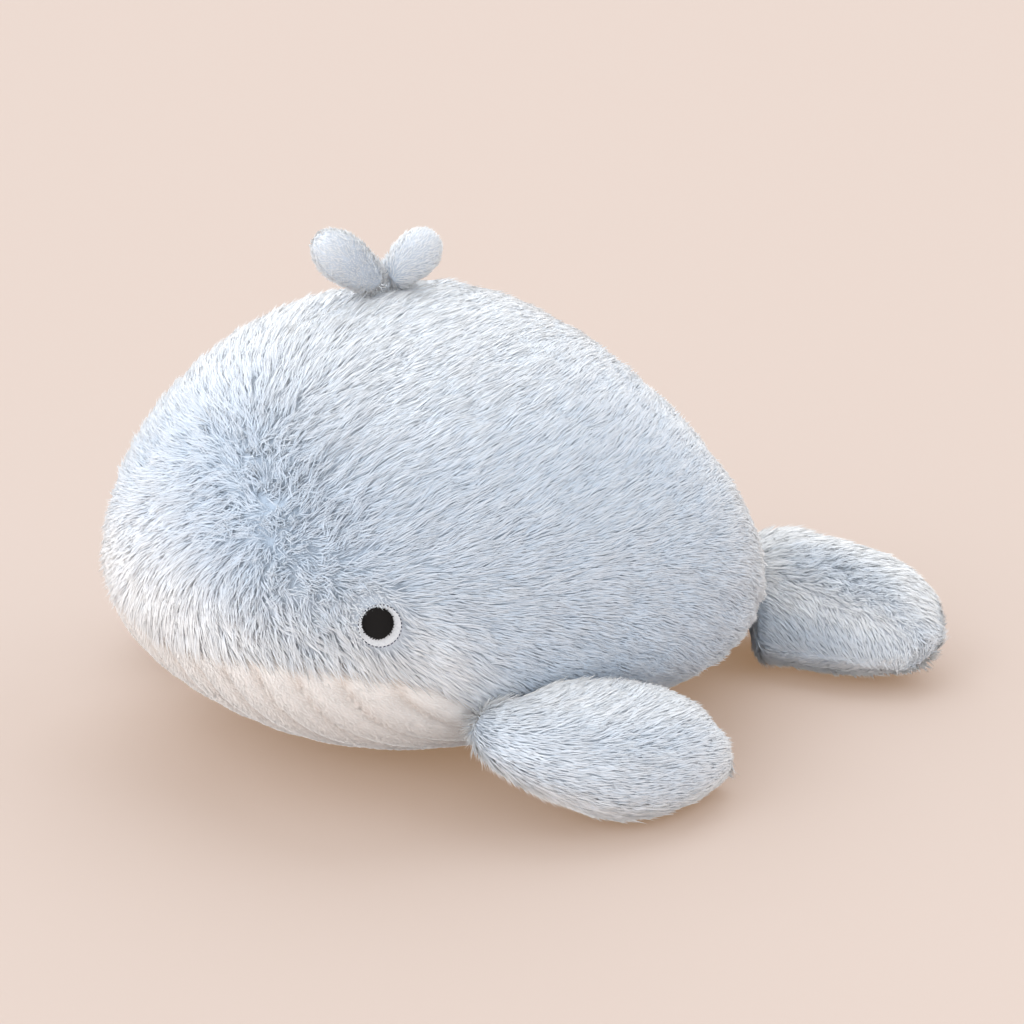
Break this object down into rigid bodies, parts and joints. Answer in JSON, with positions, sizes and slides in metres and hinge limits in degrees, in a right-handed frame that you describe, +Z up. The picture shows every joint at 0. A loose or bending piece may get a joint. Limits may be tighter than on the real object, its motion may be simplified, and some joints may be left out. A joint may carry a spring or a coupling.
{
  "type": "plush whale",
  "caption": "Stuffed plush whale with a furry back, a pleated pale belly, side fins, tail flukes, a small spout on the crown and round sewn eyes.",
  "frame": {"origin": "on the floor, on the whale's middle plane, under the widest section of its body, in the flat that its belly rests on", "axes": "+Z up, nose towards -Y, the whale's own left side towards +X"},
  "size_m": [0.3394, 0.3561, 0.2185],
  "materials": {
    "blue_fur": "long soft pile, pale blue with whiter tips",
    "cream_pile": "short soft pile, cream",
    "spout_pile": "short velvety pile, pale blue",
    "stuffing": "loose white polyester stuffing",
    "pale_felt": "pale felt",
    "black_thread": "black satin stitch"
  },
  "bodies": {
    "body": {"body_skin_left": "blue_fur", "body_skin_right": "blue_fur", "belly_panel": "cream_pile", "body_filling": "stuffing", "eye_left_disc": "pale_felt", "eye_left_pupil": "black_thread", "eye_right_disc": "pale_felt", "eye_right_pupil": "black_thread"},
    "fin_left": {"fin_left_top": "blue_fur", "fin_left_bottom": "blue_fur", "fin_left_filling": "stuffing"},
    "fluke_left": {"fluke_left_top": "blue_fur", "fluke_left_bottom": "blue_fur", "fluke_left_filling": "stuffing"},
    "fin_right": {"fin_right_top": "blue_fur", "fin_right_bottom": "blue_fur", "fin_right_filling": "stuffing"},
    "fluke_right": {"fluke_right_top": "blue_fur", "fluke_right_bottom": "blue_fur", "fluke_right_filling": "stuffing"},
    "spout_front": {"spout_front_left": "spout_pile", "spout_front_right": "spout_pile", "spout_front_filling": "stuffing"},
    "spout_rear": {"spout_rear_left": "spout_pile", "spout_rear_right": "spout_pile", "spout_rear_filling": "stuffing"}
  },
  "joints": [
    {"name": "fin_left_hinge", "type": "hinge", "parent": "body", "child": "fin_left", "pos_m": [0.11238, -0.0577, 0.037], "axis": [-0.2614, -0.9652, 0], "range_deg": [-5, 40], "stiffness_Nm_per_rad": 0.06},
    {"name": "fin_right_hinge", "type": "hinge", "parent": "body", "child": "fin_right", "pos_m": [-0.11238, -0.0577, 0.037], "axis": [-0.2614, 0.9652, 0], "range_deg": [-5, 40], "stiffness_Nm_per_rad": 0.06},
    {"name": "fluke_left_hinge", "type": "hinge", "parent": "body", "child": "fluke_left", "pos_m": [0.02791, 0.15192, 0.03012], "axis": [0.5, -0.866, 0], "range_deg": [-5, 30], "stiffness_Nm_per_rad": 0.08},
    {"name": "fluke_right_hinge", "type": "hinge", "parent": "body", "child": "fluke_right", "pos_m": [-0.02791, 0.15192, 0.03012], "axis": [0.5, 0.866, 0], "range_deg": [-5, 30], "stiffness_Nm_per_rad": 0.08},
    {"name": "spout_front_hinge", "type": "hinge", "parent": "body", "child": "spout_front", "pos_m": [0, -0.03439, 0.19501], "axis": [1, 0, 0], "range_deg": [-15, 15], "stiffness_Nm_per_rad": 0.01},
    {"name": "spout_rear_hinge", "type": "hinge", "parent": "body", "child": "spout_rear", "pos_m": [0, -0.02174, 0.19498], "axis": [1, 0, 0], "range_deg": [-15, 15], "stiffness_Nm_per_rad": 0.01}
  ]
}
